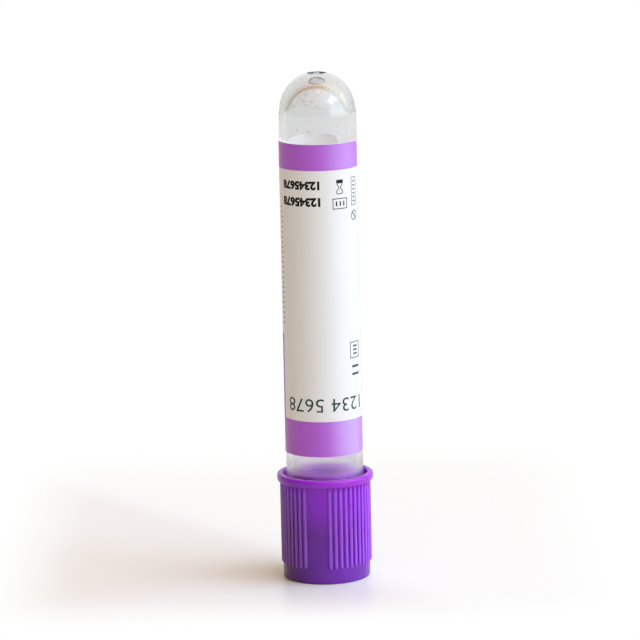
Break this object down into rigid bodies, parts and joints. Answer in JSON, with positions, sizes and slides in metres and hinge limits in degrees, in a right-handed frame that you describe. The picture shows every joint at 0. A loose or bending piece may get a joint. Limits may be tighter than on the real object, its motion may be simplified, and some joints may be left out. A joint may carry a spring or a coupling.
{
  "type": "blood collection tube",
  "caption": "Slim round-bottomed clear sample tube with a wrapped label, closed by a rubber stopper inside a ribbed pull-off safety cap, standing on the cap.",
  "frame": {"origin": "centre of the cap's end face, which the tube stands on", "axes": "+Z along the tube's axis, from the cap to the round bottom; -Y towards the printed front of the label"},
  "size_m": [0.0162, 0.0162, 0.0856],
  "materials": {
    "cap_plastic": "moulded, satin gloss",
    "stopper_rubber": "matt moulded rubber",
    "clear_plastic": "clear, polished",
    "label_film": "satin film with printed purple bands",
    "additive_drops": "clear droplets"
  },
  "bodies": {
    "cap": {"safety_cap": "cap_plastic"},
    "stopper": {"stopper": "stopper_rubber"},
    "tube": {"tube": "clear_plastic", "label": "label_film", "additive": "additive_drops"}
  },
  "joints": [
    {"name": "cap_twist", "type": "hinge", "parent": "cap", "child": "stopper", "pos_m": [0, 0, 0.0061], "axis": [0, 0, 1], "continuous": true},
    {"name": "tube_pull", "type": "slide", "parent": "stopper", "child": "tube", "axis": [0, 0, 1], "range_m": [0, 0.025]}
  ]
}
